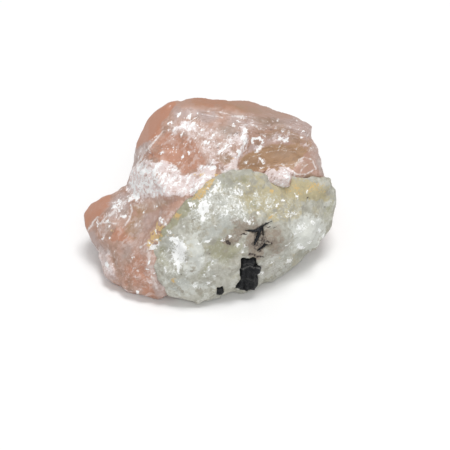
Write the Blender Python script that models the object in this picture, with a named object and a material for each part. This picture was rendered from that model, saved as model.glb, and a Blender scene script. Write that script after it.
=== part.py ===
"""Rough morganite specimen: salmon-pink beryl grown round a pale grey-green lump that holds black tourmaline.

Tables are in millimetres and meshes in metres. +Z is up, +Y runs to the back, and the stone rests on its
flat broken underside with the middle of its plan at the origin.
"""

import math

import bmesh
import bpy
from mathutils import Matrix, Vector, noise

MM = 0.001

# Driving dimensions of the whole specimen.
GAP = 0.3  # clearance between two minerals that touch
GRAIN = 0.6  # edge of the working faces on which the broken relief is raised
MORGANITE_TRIANGLES = 5200
MATRIX_TRIANGLES = 2600
PLAN_MIDDLE = (0.3, 2.28)  # middle of the stone's plan, in the coordinates of the tables below

# Corners of the upper mass, with flat broken faces between them.
DOME_CORNERS = [
    (-7, 13, 31.4), (1, 15, 30.4), (6, 15, 29.9), (12, 14.8, 28.2),  # back of the top
    (18.2, 13.2, 26.6), (21.4, 11.2, 25.2),
    (23, 10, 21.7), (25.3, 8, 15.6), (26.4, 6, 12),  # right shoulder
    (-9.5, 12, 30), (-12, 11, 28), (-14.5, 8, 24), (-16.8, 4, 14.5),  # left shoulder
    (-6.5, 10, 32), (4.5, 10, 31), (12, 9, 29), (19.5, 8, 27),  # ridge in front of the top strip
    (-9.2, 5.1, 30.7), (-11.8, 3.8, 27.9),  # front edge of the left facet
    (-13, -4, 19.6), (-7, -6.5, 22), (0, -5.5, 23.5), (9, -1.5, 24.5), (21, 4, 20),  # brow over the lobe
    (-13, 18, 13), (2, 21, 15), (15, 19, 12), (22, 13, 9),  # swell of the back
    (-15, 10, -2), (-3, 17, -2), (11, 16, -2), (21, 9, -2), (-8, 1, -2), (16, -2, -2),  # foot
]

# Corners of the lower left lobe.
LOBE_CORNERS = [
    (-17.5, 4, 14.5), (-21.5, 4, 12.5), (-24.5, 4, 10.5), (-26, 2, 9.5), (-25.7, 0, 9),  # upper left rim
    (-23, -4.6, 3.6), (-21.5, -9.4, 2.8), (-17.2, -13.8, 2.4),  # overhanging lower rim
    (-13.2, -14.7, 2.4), (-9.5, -14.9, 2.5),
    (-21.3, -1, 13.4), (-20, -8, 8.8), (-19.5, -10, 2.5),  # edges of the left faces
    (-12.5, -2.4, 17.4), (-7.5, -5, 20), (-3.4, -6.2, 21.6),  # under the brow
    (-9.4, -9.9, 17.4), (-11.1, -10.4, 14.8), (-12.2, -11, 11.5), (-10, -14.5, 4.5),  # along the pale lump
    (0, 5, 15), (-2, -12, 4),
    (-20, 9, 4), (-14, 13, 8), (-20, 6, -2), (-21, 0, -2), (-10, 12, -2), (-1, 2, -2),  # back and foot
    (-19.5, -5, -2), (-16, -10, -2), (-10, -11.5, -2),
]

# Corners of the pale lump.
MATRIX_CORNERS = [
    (-12, -11.5, 11.5), (-6.5, -9, 20), (1, -5, 25), (2.4, -3, 25.7), (8.3, -3, 25),  # upper edge
    (17, 0, 21), (25.4, 5, 17.3),
    (26.5, 4, 12), (26.4, 2, 10), (25, -1.2, 6.9), (22.6, -4.3, 4.3), (16, -7.7, 2.8),  # right edge
    (13.5, -10.2, 2.2), (10, -12.2, 2.2), (1, -14.8, 2.2),  # overhanging lower rim
    (-2.8, -16.6, 2.1), (-5, -16.4, 2.1), (-8, -15.2, 2.2),
    (-11.4, -13.8, 9), (-9.6, -15.5, 5),
    (1.3, -13.5, 17.6), (18, -7, 17.3), (21, -6, 10.7), (12.7, -12, 14.8), (8.6, -14, 8.2),
    (-3.8, -16, 11.5), (-5, -15.8, 4.8),
    (-4, 2, 12), (4, 5, 16), (16, 7, 13), (20, 7, 4),  # buried back
    (6, 4, -2), (16, 2, -2), (-6, -10.5, -2), (-2, -12, -2), (3, -11, -2),  # foot
    (9, -8.8, -2), (13, -6, -2),
]

# Conchoidal scars: middle on the lump's skin, azimuth and elevation it faces, width across and depth.
MORGANITE_SCARS = [
    ((-5.6, -0.6, 27), -105, 52, 15, 2.3),  # left window
    ((15.8, 3.2, 23.8), -82, 48, 15, 2.1),  # right window
    ((22.2, 10.4, 23.2), 5, 10, 5, 1.5),  # nick in the right shoulder
    ((23.9, 8.4, 18.6), -10, 25, 4, 0.5),
    ((-15.2, 2, 21), 180, 20, 9, 0.8),  # hollow left flank
    ((-18, -4.6, 13.2), -110, 62, 9, 0.9),
    ((-22.4, -6.5, 6), -150, 12, 8, 0.8),
    ((-9, 19.4, 15), 100, 8, 17, 2.6),  # back
    ((10, 20.2, 14), 80, 4, 19, 2.8),
    ((3, 17.5, 26), 92, 35, 15, 1.8),
    ((-17.5, 10.5, 9), 150, 20, 12, 1.8),
    ((23, 11, 15), 25, 18, 12, 1.6),
]
MATRIX_SCARS = [
    ((3, -11.5, 19.5), -95, 45, 9, 0.7),
    ((20.5, -4.5, 14), -45, 30, 10, 0.9),
    ((19.6, -6, 5.2), -60, -20, 8, 1.4),  # hollow on the lower right rim
    ((-8.2, -13.5, 12), -110, 25, 8, 0.8),
]

# Relief of each broken skin: flake size and depth, size and depth of the slow swell, mean inward shift,
# and quiet places as middle, reach and the share of relief left there.
MORGANITE_RELIEF = {
    "flakes": [(6.5, 1.15), (2.8, 0.65)],
    "swell": (9, 0.45),
    "sink": 0.25,
    "quiet": [
        ((-12.6, 8.5, 27), 6.5, 0.05), ((-14, 7, 23.5), 4, 0.1),  # smooth left facet
        ((-1, 13, 31), 6, 0.2), ((8, 13, 30), 5, 0.25),  # top strip
        ((-6, 0, 26.5), 6, 0.35), ((15.5, 3.5, 23.5), 7, 0.3),  # windows
        ((-12.5, -4.2, 19.8), 3, 0.3), ((-7, -6.2, 21.8), 3.5, 0.3), ((-1, -5.5, 22.5), 3.5, 0.3),  # brow
        ((-24, 1, 11), 5, 0.15),  # left tip
        ((2, 0, 8), 13, 0),  # buried behind the pale lump
    ],
}
MATRIX_RELIEF = {
    "flakes": [(5, 1.05), (2.2, 0.7)],
    "swell": (6, 0.7),
    "sink": 0.4,
    "quiet": [((3, 7, 6), 15, 0)],  # buried back
}

# A knob of morganite that stands through the upper edge of the pale lump: middle, half sizes and lean.
KNOB = {"middle": (14.2, 0.5, 20.5), "half": (3, 2.1, 4.5), "lean": 48}

# Black tourmaline: ends of each crystal's axis, width across its foot and its head.
LARGE_CRYSTAL = {"foot": (7.6, -11.9, 2.9), "head": (8, -11.9, 10.4), "widths": (4.9, 3.2)}
LARGE_KNOB = {"middle": (9.8, -12.7, 7.6), "half": (1, 1.1, 0.85)}
SMALL_CRYSTAL = {"foot": (2.4, -14.3, 2.6), "head": (2.3, -14.7, 4.5), "widths": (1.4, 1.1)}
NEEDLES = [
    {"foot": (7.5, -11.2, 16.8), "head": (9.6, -10.7, 16.2), "widths": (0.35, 0.65)},  # slanting blade
    {"foot": (9.3, -10.9, 16.2), "head": (11.2, -9.8, 16.9), "widths": (0.75, 0.55)},
    {"foot": (11.1, -9.8, 16.9), "head": (12.9, -8.9, 17.4), "widths": (0.5, 0.25)},
    {"foot": (10.6, -10.3, 16.3), "head": (9.95, -11.2, 15), "widths": (0.7, 0.85)},  # main splinter
    {"foot": (10, -11.1, 15.2), "head": (9.4, -12, 13.8), "widths": (0.85, 0.5)},
    {"foot": (11, -9.9, 16.7), "head": (11.3, -11.7, 12.8), "widths": (0.4, 0.45)},  # thin splinter
    {"foot": (10, -12.4, 12.5), "head": (11.6, -11.4, 13.2), "widths": (0.45, 0.6)},  # low blade
    {"foot": (11.5, -11.5, 13.1), "head": (12.5, -11.1, 13.1), "widths": (0.45, 0.3)},
]
NEEDLE_POINT = 0.2  # how far a needle's tip stands out past its axis
RAGGED = 0.3  # most that a crystal's end reaches past its axis


def clear_scene():
    for thing in list(bpy.data.objects):
        bpy.data.objects.remove(thing)


def make_object(name, shape):
    """Turns a finished bmesh into an object of that name."""
    bmesh.ops.recalc_face_normals(shape, faces=shape.faces)
    mesh = bpy.data.meshes.new(name)
    shape.to_mesh(mesh)
    shape.free()
    thing = bpy.data.objects.new(name, mesh)
    bpy.context.scene.collection.objects.link(thing)
    return thing


def hull(name, corners):
    """A closed lump with flat broken faces between its corners."""
    shape = bmesh.new()
    for corner in corners:
        shape.verts.new(Vector(corner) * MM)
    found = bmesh.ops.convex_hull(shape, input=shape.verts)
    bmesh.ops.delete(shape, geom=found["geom_interior"], context="VERTS")
    return make_object(name, shape)


def knob(name, middle, half, lean=0):
    """A small rounded lump with broken facets, which leans forward by so many degrees."""
    shape = bmesh.new()
    bmesh.ops.create_icosphere(shape, subdivisions=2, radius=1)
    leaning = Matrix.Rotation(math.radians(lean), 3, "X")
    for vert in shape.verts:
        reach = 1 + 0.3 * noise.noise(vert.co * 1.7)
        vert.co = (Vector(middle) + leaning @ (Vector(half) * vert.co) * reach) * MM
    return make_object(name, shape)


def apply_modifiers(thing):
    """Bakes an object's modifiers into its own mesh."""
    bpy.context.view_layer.update()
    graph = bpy.context.evaluated_depsgraph_get()
    mesh = bpy.data.meshes.new_from_object(thing.evaluated_get(graph))
    thing.modifiers.clear()
    thing.data = mesh


def combine(thing, other, operation):
    """Boolean of two closed lumps, which uses up the second."""
    boolean = thing.modifiers.new(operation.title(), "BOOLEAN")
    boolean.operation = operation
    boolean.object = other
    apply_modifiers(thing)
    bpy.data.objects.remove(other)


def keep_largest_piece(thing):
    """Drops the crumbs that a cut has parted from the main body."""
    shape = bmesh.new()
    shape.from_mesh(thing.data)
    left = set(shape.verts)
    pieces = []
    while left:
        edge = [left.pop()]
        piece = set(edge)
        while edge:
            for link in edge.pop().link_edges:
                for vert in link.verts:
                    if vert in left:
                        left.remove(vert)
                        piece.add(vert)
                        edge.append(vert)
        pieces.append(piece)
    pieces.sort(key=len)
    for piece in pieces[:-1]:
        bmesh.ops.delete(shape, geom=list(piece), context="VERTS")
    shape.to_mesh(thing.data)
    shape.free()


def facing(azimuth, elevation):
    """Unit vector from an azimuth about +Z, 0 at +X, and an elevation, in degrees."""
    turn, rise = math.radians(azimuth), math.radians(elevation)
    return Vector((math.cos(turn) * math.cos(rise), math.sin(turn) * math.cos(rise), math.sin(rise)))


def strike_scar(lump, middle, azimuth, elevation, width, depth):
    """Scoops out a shell fracture with the ball that leaves a scar of that width and depth."""
    radius = (width * width / 4 + depth * depth) / (2 * depth)
    centre = Vector(middle) + facing(azimuth, elevation) * (radius - depth)
    shape = bmesh.new()
    place = Matrix.Translation(centre * MM)
    bmesh.ops.create_icosphere(shape, subdivisions=5, radius=radius * MM, matrix=place)
    combine(lump, make_object("scar", shape), "DIFFERENCE")


def refine(lump):
    """Gives the lump small even faces, so that relief can be raised on it."""
    voxels = lump.modifiers.new("Grain", "REMESH")
    voxels.mode = "VOXEL"
    voxels.voxel_size = GRAIN * MM
    apply_modifiers(lump)


def flake_height(point, size):
    """Height of a flaky break: each flake is a flat facet with a tilt of its own."""
    centre = noise.voronoi(point / size)[1][0]
    tilt = noise.cell_vector(centre * 7.3) - Vector((0.5, 0.5, 0.5))
    return tilt.dot(point / size - centre)


def raise_relief(lump, flakes, swell, sink, quiet):
    """Moves the skin in and out by flat flakes and a slow swell, less so in the quiet places."""
    shape = bmesh.new()
    shape.from_mesh(lump.data)
    swell_size, swell_depth = swell
    moves = []
    for vert in shape.verts:
        point = vert.co / MM
        height = sum(depth * flake_height(point, size) for size, depth in flakes) - sink
        height += swell_depth * noise.fractal(point / swell_size, 0.9, 2.1, 4)
        for middle, reach, share in quiet:
            near = (point - Vector(middle)).length / reach
            if near < 1:
                height *= share + (1 - share) * near ** 3
        moves.append(vert.normal * height * MM)
    for vert, move in zip(shape.verts, moves):
        vert.co += move
    shape.to_mesh(lump.data)
    shape.free()


def reduce(lump, triangles):
    """Merges faces where the skin is flat until about that many triangles are left."""
    lump.data.calc_loop_triangles()
    decimate = lump.modifiers.new("Reduce", "DECIMATE")
    decimate.ratio = triangles / len(lump.data.loop_triangles)
    decimate.use_collapse_triangulate = True
    apply_modifiers(lump)


def cut_flat_foot(lump):
    """Cuts the lump off level at the plane that it rests on."""
    size = 200 * MM
    shape = bmesh.new()
    bmesh.ops.create_cube(shape, size=size, matrix=Matrix.Translation((0, 0, -size / 2)))
    combine(lump, make_object("ground", shape), "DIFFERENCE")


def seat(lump, margin):
    """A copy of the lump with its skin moved outwards, to cut a clear seat in a neighbour."""
    shape = bmesh.new()
    shape.from_mesh(lump.data)
    copy = make_object(lump.name + "_seat", shape)
    swell = copy.modifiers.new("Margin", "DISPLACE")
    swell.mid_level = 0
    swell.strength = margin * MM
    apply_modifiers(copy)
    return copy


def broken_lump(name, corners, scars, relief, triangles):
    lump = hull(name, corners[0])
    for more in corners[1:]:
        combine(lump, hull("lobe", more), "UNION")
    for scar in scars:
        strike_scar(lump, *scar)
    refine(lump)
    raise_relief(lump, **relief)
    reduce(lump, triangles)
    cut_flat_foot(lump)
    return lump


def crystal(name, foot, head, widths, sides=6, groove=0.0, rings=2, ragged=0.0, point=-0.1):
    """A prism from foot to head, with grooves along it and ends that are ragged, hollow or pointed."""
    axis = Vector(head) - Vector(foot)
    upright = axis.to_track_quat("Z", "Y").to_matrix()
    shape = bmesh.new()
    loops = []
    for ring in range(rings):
        along = ring / (rings - 1)
        half = (widths[0] + (widths[1] - widths[0]) * along) / 2
        half *= 1 + 0.8 * groove * noise.noise(Vector((0, 0, ring * 3.7)))
        loop = []
        for side in range(sides):
            angle = math.tau * (side + 0.5) / sides
            reach = half * (1 - groove * (side % 2) + 0.08 * math.cos(3 * angle))
            end = ragged * noise.noise(Vector((side * 0.9, ring, 5))) if ring in (0, rings - 1) else 0
            place = Vector((reach * math.cos(angle), reach * math.sin(angle), along * axis.length + end))
            loop.append(shape.verts.new((Vector(foot) + upright @ place) * MM))
        loops.append(loop)
    for lower, upper in zip(loops, loops[1:]):
        for side in range(sides):
            after = (side + 1) % sides
            shape.faces.new((lower[side], lower[after], upper[after], upper[side]))
    for loop, rise in ((loops[0], -point), (loops[-1], point)):
        middle = sum((vert.co for vert in loop), Vector()) / sides
        tip = shape.verts.new(middle + upright @ Vector((0, 0, rise * MM)))
        for side in range(sides):
            shape.faces.new((loop[side], loop[(side + 1) % sides], tip))
    bmesh.ops.triangulate(shape, faces=shape.faces)
    return make_object(name, shape)


def crystal_pocket(foot, head, widths, sides):
    """A plain prism that clears a crystal of those sizes all round, to cut its pocket."""
    axis = (Vector(head) - Vector(foot)).normalized()
    ends = [Vector(foot) - axis * (GAP + RAGGED), Vector(head) + axis * (GAP + RAGGED)]
    return crystal("pocket", *ends, [width * 1.09 + 2 * GAP for width in widths], sides=sides)


def finish(thing, colour, roughness, metallic=0.0):
    """Gives the piece its own material and moves it so that the stone's plan is centred on the origin."""
    material = bpy.data.materials.new(thing.name)
    material.use_nodes = True
    shader = material.node_tree.nodes["Principled BSDF"]
    shader.inputs["Base Color"].default_value = (*colour, 1)
    shader.inputs["Roughness"].default_value = roughness
    shader.inputs["Metallic"].default_value = metallic
    thing.data.materials.clear()
    thing.data.materials.append(material)
    thing.data.transform(Matrix.Translation(Vector((-PLAN_MIDDLE[0], -PLAN_MIDDLE[1], 0)) * MM))


def main():
    clear_scene()
    morganite = broken_lump("morganite", [DOME_CORNERS, LOBE_CORNERS], MORGANITE_SCARS, MORGANITE_RELIEF,
                            MORGANITE_TRIANGLES)
    matrix = broken_lump("matrix", [MATRIX_CORNERS], MATRIX_SCARS, MATRIX_RELIEF, MATRIX_TRIANGLES)
    large = crystal("tourmaline_large", **LARGE_CRYSTAL, sides=20, groove=0.12, rings=6, ragged=2 * RAGGED)
    stub = knob("stub", **LARGE_KNOB)
    stub_pocket = seat(stub, GAP)
    combine(large, stub, "UNION")
    small = crystal("tourmaline_small", **SMALL_CRYSTAL, sides=10, groove=0.08, rings=3, ragged=RAGGED)
    needles = crystal("tourmaline_needles", **NEEDLES[0], point=NEEDLE_POINT)
    for needle in NEEDLES[1:]:
        combine(needles, crystal("needle", **needle, point=NEEDLE_POINT), "UNION")

    combine(morganite, seat(matrix, GAP), "DIFFERENCE")
    upper_knob = knob("upper_knob", **KNOB)
    combine(matrix, seat(upper_knob, GAP), "DIFFERENCE")
    combine(morganite, upper_knob, "UNION")
    combine(matrix, stub_pocket, "DIFFERENCE")
    for sizes in (LARGE_CRYSTAL, SMALL_CRYSTAL):
        combine(matrix, crystal_pocket(**sizes, sides=12), "DIFFERENCE")
    for sizes in NEEDLES:
        combine(matrix, crystal_pocket(**sizes, sides=6), "DIFFERENCE")
    for lump in (morganite, matrix):
        keep_largest_piece(lump)

    finish(morganite, colour=(0.56, 0.34, 0.25), roughness=0.4)
    finish(matrix, colour=(0.46, 0.47, 0.40), roughness=0.65)
    for piece in (large, small, needles):
        finish(piece, colour=(0.02, 0.022, 0.026), roughness=0.35)


main()
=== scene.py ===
import math

import bpy
import numpy as np
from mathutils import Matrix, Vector, noise


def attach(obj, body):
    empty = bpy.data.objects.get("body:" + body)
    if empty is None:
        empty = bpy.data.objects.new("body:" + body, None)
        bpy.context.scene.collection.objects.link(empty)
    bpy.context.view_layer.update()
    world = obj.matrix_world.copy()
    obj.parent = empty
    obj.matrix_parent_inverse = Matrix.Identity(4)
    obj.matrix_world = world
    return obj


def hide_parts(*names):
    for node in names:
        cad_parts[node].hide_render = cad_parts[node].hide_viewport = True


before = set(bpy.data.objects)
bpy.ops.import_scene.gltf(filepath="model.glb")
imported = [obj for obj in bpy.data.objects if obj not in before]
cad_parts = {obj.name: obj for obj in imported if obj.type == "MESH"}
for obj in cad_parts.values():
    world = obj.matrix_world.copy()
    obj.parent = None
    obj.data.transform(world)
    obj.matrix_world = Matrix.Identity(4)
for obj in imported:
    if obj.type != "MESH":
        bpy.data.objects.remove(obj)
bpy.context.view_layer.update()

mm = 0.001
shared = {
    "seed": 1,               # of the noise, so that every run gives the same marks
    "weld": 0.000002,        # m, points nearer than this are merged
    "smooth": 38,            # degrees, edges sharper than this stay sharp
    "light": 1.12,           # how bright a fully white paint shows in this light
    # how the edges of the marks wander: feature size in mm, share and a step of the seed
    "wander": [(2.2, 1, 0), (0.8, 0.6, 4), (0.42, 0.6, 8)],
    "bump": 0.5,             # strength of the finest relief
}
noise.seed_set(shared["seed"])

# the camera looks down on the stone, square to the front
camera = {
    "elevation": 42,                 # degrees above the floor
    "target": (3.12, -4.14, 9.9),    # mm, the point in the middle of the view
    "distance": 388,                 # mm
    "lens": 150,                     # mm
    "sensor": 36,                    # mm
    "view": 450,                     # width and height of the front view, in the units of the marks
}


def addCamera():
    tilt = math.radians(camera["elevation"])
    towards = Vector((0, -math.cos(tilt), math.sin(tilt)))
    bpy.ops.object.camera_add(location=(Vector(camera["target"]) + towards * camera["distance"]) * mm,
                              rotation=(math.pi / 2 - tilt, 0, 0))
    eye = bpy.context.object
    eye.data.lens = camera["lens"]
    eye.data.sensor_width = camera["sensor"]
    bpy.context.scene.camera = eye


def frontPlace(points):
    # where points (mm) fall in the front view, and the unit vectors from them to the eye
    tilt = math.radians(camera["elevation"])
    towards = np.array((0, -math.cos(tilt), math.sin(tilt)))
    upward = np.array((0, math.sin(tilt), math.cos(tilt)))
    eye = np.array(camera["target"]) + towards * camera["distance"]
    offset = points - eye
    depth = -offset @ towards
    scale = camera["view"] * camera["lens"] / camera["sensor"] / depth
    across = camera["view"] / 2 + offset[:, 0] * scale
    down = camera["view"] / 2 - offset @ upward * scale
    return across, down, -offset / np.linalg.norm(offset, axis=1)[:, None]


addCamera()
print("camera set")


def deselectAll():
    if bpy.context.mode != "OBJECT":
        bpy.ops.object.mode_set(mode="OBJECT")
    bpy.ops.object.select_all(action="DESELECT")


def choose(piece):
    deselectAll()
    piece.select_set(True)
    bpy.context.view_layer.objects.active = piece


def applyModifier(piece, kind, **settings):
    choose(piece)
    modifier = piece.modifiers.new(kind.title(), kind)
    for key, value in settings.items():
        setattr(modifier, key, value)
    bpy.ops.object.modifier_apply(modifier=modifier.name)


def copyNode(nodeName, pieceName):
    # a welded copy of a CAD solid, ready to be worked on
    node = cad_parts[nodeName]
    piece = bpy.data.objects.new(pieceName, node.data.copy())
    bpy.context.scene.collection.objects.link(piece)
    choose(piece)
    bpy.ops.object.mode_set(mode="EDIT")
    bpy.ops.mesh.select_all(action="SELECT")
    bpy.ops.mesh.remove_doubles(threshold=shared["weld"])
    bpy.ops.mesh.normals_make_consistent(inside=False)
    bpy.ops.object.mode_set(mode="OBJECT")
    return piece


def readPoints(piece):
    mesh = piece.data
    points = np.empty(len(mesh.vertices) * 3, np.float32)
    normals = np.empty(len(mesh.vertices) * 3, np.float32)
    mesh.vertices.foreach_get("co", points)
    mesh.vertices.foreach_get("normal", normals)
    return points.reshape(-1, 3).astype(float) / mm, normals.reshape(-1, 3).astype(float)


def writePoints(piece, points):
    piece.data.vertices.foreach_set("co", (points * mm).astype(np.float32).ravel())
    piece.data.update()


def writeMasks(piece, masks):
    for maskName, values in masks.items():
        layer = piece.data.attributes.new(maskName, "FLOAT", "POINT")
        layer.data.foreach_set("value", np.clip(values, 0, 1).astype(np.float32))


def startSkin(nodeName, pieceName, voxel):
    # a skin of even faces of that size in mm on a CAD solid, with its points (mm) and normals
    piece = copyNode(nodeName, pieceName)
    applyModifier(piece, "REMESH", mode="VOXEL", voxel_size=voxel * mm)
    return piece, *readPoints(piece)


def pushOut(piece, points, normals, relief):
    # moves the skin by its relief in mm, and keeps it above the floor
    points = points + normals * relief[:, None]
    points[:, 2] = np.maximum(points[:, 2], 0)
    writePoints(piece, points)


def smoothStep(low, high, value):
    share = np.clip((value - low) / (high - low), 0, 1)
    return share * share * (3 - 2 * share)


def noiseAt(points, size, octaves, seed):
    # soft noise of about -1 to 1 at each point, with that feature size in mm
    shift = Vector((seed * 17.3, seed * 5.1, seed * 9.7))
    return np.array([noise.fractal(Vector(p) / size + shift, 0.8, 2.1, octaves) for p in points])


def warpAt(points, size, seed):
    # a push in every direction, with that feature size in mm
    shift = Vector((seed * 7.7, seed * 3.9, seed * 11.3))
    return np.array([noise.noise_vector(Vector(p) / size + shift) for p in points])


def flakesAt(points, size, seed):
    # flat facets of about that size in mm, each with a tilt of its own, as broken crystal has
    shift = Vector((seed * 4.1, seed * 8.3, seed * 2.9))
    middle = Vector((0.5, 0.5, 0.5))
    heights = np.empty(len(points))
    for i, p in enumerate(points):
        place = Vector(p) / size + shift
        centre = noise.voronoi(place)[1][0]
        heights[i] = (noise.cell_vector(centre * 7.3) - middle).dot(place - centre)
    return heights


# Marks are shapes placed on the front. Each is written as its shape, its strength and the rest of
# that shape's values, in units of the front view: across from its left and down from its top.
def patch(place, x, y, length, width, turn=0, soft=0.8):
    # an ellipse of that half length and half width, falling to 0 over the share "soft" of its radius
    angle = math.radians(turn)
    dx = place[0] - x
    dy = place[1] - y
    along = (dx * math.cos(angle) + dy * math.sin(angle)) / length
    aside = (-dx * math.sin(angle) + dy * math.cos(angle)) / width
    return 1 - smoothStep(1 - soft, 1 + soft, np.hypot(along, aside))


def zone(place, corners, soft=1.5):
    # a polygon with edges as soft as that
    x, y = place[0], place[1]
    inside = np.zeros(len(x), bool)
    nearest = np.full(len(x), 1e9)
    for (x0, y0), (x1, y1) in zip(corners, corners[1:] + corners[:1]):
        if y0 != y1:
            crossing = ((y0 > y) != (y1 > y)) & (x < (x1 - x0) * (y - y0) / (y1 - y0) + x0)
            inside ^= crossing
        nearest = np.minimum(nearest, edgeDistance(x, y, x0, y0, x1, y1))
    signed = np.where(inside, nearest, -nearest)
    return smoothStep(-soft, soft, signed)


def edgeDistance(x, y, x0, y0, x1, y1):
    length = (x1 - x0) ** 2 + (y1 - y0) ** 2
    share = np.clip(((x - x0) * (x1 - x0) + (y - y0) * (y1 - y0)) / max(length, 1e-9), 0, 1)
    return np.hypot(x - x0 - share * (x1 - x0), y - y0 - share * (y1 - y0))


def vein(place, corners, width, soft=1):
    # a bent line
    nearest = np.full(len(place[0]), 1e9)
    for (x0, y0), (x1, y1) in zip(corners, corners[1:]):
        nearest = np.minimum(nearest, edgeDistance(place[0], place[1], x0, y0, x1, y1))
    return 1 - smoothStep(width / 2, width / 2 + soft, nearest)


def specks(place, spots):
    # many small ellipses: across, down, half length, half width and perhaps a turn
    total = np.zeros(len(place[0]))
    for x, y, length, width, *turn in spots:
        near = (abs(place[0] - x) < length + width + 2) & (abs(place[1] - y) < length + width + 2)
        shape = patch((place[0][near], place[1][near]), x, y, length + 0.3, width + 0.3, *turn, soft=0.6)
        total[near] = np.maximum(total[near], shape * (0.75 + 0.25 * math.sin(x * 5 + y * 3)))
    return total


def drawMarks(place, marks):
    # the strongest mark at each place
    total = np.zeros(len(place[0]))
    for shape, strength, *details in marks:
        total = np.maximum(total, strength * shape(place, *details))
    return total


def drawMasks(points, normals, settings, seed):
    # every mask's marks, with edges that wander by a distance of the mask's own, and how far each
    # point faces the camera: 1 when square to it
    across, down, towards = frontPlace(points)
    wander = sum(share * warpAt(points, size, seed + step) for size, share, step in shared["wander"])
    masks = {}
    for maskName, reach in settings["masks"].items():
        masks[maskName] = drawMarks((across + reach * wander[:, 0], down + reach * wander[:, 1]),
                                    settings[maskName])
    return masks, (normals * towards).sum(1)


class Wire:
    # a socket whose sums and products add Math nodes
    def __init__(self, tree, socket=None):
        self.tree = tree
        self.socket = socket

    def node(self, kind, settings, values, output=0):
        made = self.tree.nodes.new(kind)
        for key, value in settings.items():
            setattr(made, key, value)
        for key, value in values.items():
            if isinstance(value, Wire):
                self.tree.links.new(value.socket, made.inputs[key])
            else:
                made.inputs[key].default_value = value
        return Wire(self.tree, made.outputs[output] if len(made.outputs) else None)

    def maths(self, operation, first, second=0.0):
        return self.node("ShaderNodeMath", {"operation": operation}, {0: first, 1: second})

    def __add__(self, other):
        return self.maths("ADD", self, other)

    def __radd__(self, other):
        return self.maths("ADD", other, self)

    def __sub__(self, other):
        return self.maths("SUBTRACT", self, other)

    def __rsub__(self, other):
        return self.maths("SUBTRACT", other, self)

    def __mul__(self, other):
        return self.maths("MULTIPLY", self, other)

    def __rmul__(self, other):
        return self.maths("MULTIPLY", other, self)

    def apart(self):
        return self.maths("ABSOLUTE", self)

    def most(self, other):
        return self.maths("MAXIMUM", self, other)

    def vector(self, operation, other=(0, 0, 0), output=0):
        return self.node("ShaderNodeVectorMath", {"operation": operation}, {0: self, 1: other}, output)

    def scaled(self, factor):
        return self.node("ShaderNodeVectorMath", {"operation": "SCALE"}, {0: self, "Scale": factor})

    def beside(self, output):
        # another output of the same node
        return Wire(self.tree, self.socket.node.outputs[output])

    def step(self, low, high):
        return self.node("ShaderNodeMapRange", {"interpolation_type": "SMOOTHSTEP"},
                         {"Value": self, "From Min": low, "From Max": high})


def seen(red, green, blue):
    # the paint that shows as that colour (0 to 255) in this light
    def linear(value):
        share = value / 255
        return share / 12.92 if share <= 0.04045 else ((share + 0.055) / 1.055) ** 2.4
    return tuple(linear(value) / shared["light"] for value in (red, green, blue))


def blend(share, under, over):
    wire = next(w for w in (share, under, over) if isinstance(w, Wire))
    colours = [(*c, 1) if isinstance(c, tuple) else c for c in (under, over)]
    return wire.node("ShaderNodeMix", {"data_type": "RGBA", "clamp_factor": True},
                     {0: share, 6: colours[0], 7: colours[1]}, output=2)


def paint(tone, colours, *layers):
    # layers of colour over each other, each with its share and the name of its colour
    for share, colourName in layers:
        tone = blend(share, tone, colours[colourName])
    return tone


def newMaterial(name):
    material = bpy.data.materials.new(name)
    material.use_nodes = True
    material.node_tree.nodes.clear()
    return material, Wire(material.node_tree)


def finishMaterial(wire, values):
    shader = wire.node("ShaderNodeBsdfPrincipled", {}, values)
    wire.node("ShaderNodeOutputMaterial", {}, {"Surface": shader})


def bumped(wire, height, distance):
    # normals that make the surface look raised by that height, up to that distance in metres
    return wire.node("ShaderNodeBump", {},
                     {"Strength": shared["bump"], "Distance": distance, "Height": height})


def attribute(wire, name):
    return wire.node("ShaderNodeAttribute", {"attribute_name": name}, {}, output="Fac")


def objectPlace(wire):
    # Object coordinates in mm
    return wire.node("ShaderNodeTexCoord", {}, {}, output="Object").scaled(1000)


def frontDirection(angle):
    # the way that runs at that angle in the front view, counted up from the right
    tilt = math.radians(camera["elevation"])
    rise = math.sin(math.radians(angle))
    return (math.cos(math.radians(angle)), rise * math.sin(tilt), rise * math.cos(tilt))


def drawn(place, angle, share):
    # coordinates squeezed that way, so that what they carry is drawn out along it
    direction = frontDirection(angle)
    along = place.vector("DOT_PRODUCT", direction, output="Value") * (share - 1)
    pull = place.node("ShaderNodeVectorMath", {"operation": "SCALE"}, {0: direction, "Scale": along})
    return place.vector("ADD", pull)


def uneven(place, size, detail=3, rough=0.6):
    # noise of about -1 to 1 whose features measure that many mm
    noiseNode = place.node("ShaderNodeTexNoise", {"noise_dimensions": "3D"},
                           {"Vector": place, "Scale": 1 / size, "Detail": detail, "Roughness": rough})
    return (noiseNode - 0.5) * 4


def swirl(place, size, reach):
    # a soft push in every direction, up to that many mm
    drift = place.node("ShaderNodeTexNoise", {"noise_dimensions": "3D"},
                       {"Vector": place, "Scale": 1 / size, "Detail": 2}, output="Color")
    return drift.vector("SUBTRACT", (0.5, 0.5, 0.5)).scaled(reach * 2)


def cells(place, size):
    # a random colour for each cell, with the cell's distance and place beside it
    return place.node("ShaderNodeTexVoronoi", {"feature": "F1", "voronoi_dimensions": "3D"},
                      {"Vector": place.scaled(1 / size), "Scale": 1}, output="Color")


def lots(cell):
    # one random number of about -1 to 1 for each cell
    return (cell - 0.5) * 3


def spread(mask, texture):
    # how far a mark covers each place: its edge and its inside are broken up by the texture
    return (mask * 1.3 - 0.65 + texture).step(-0.25, 0.35) * mask.step(0, 0.15)


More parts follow.
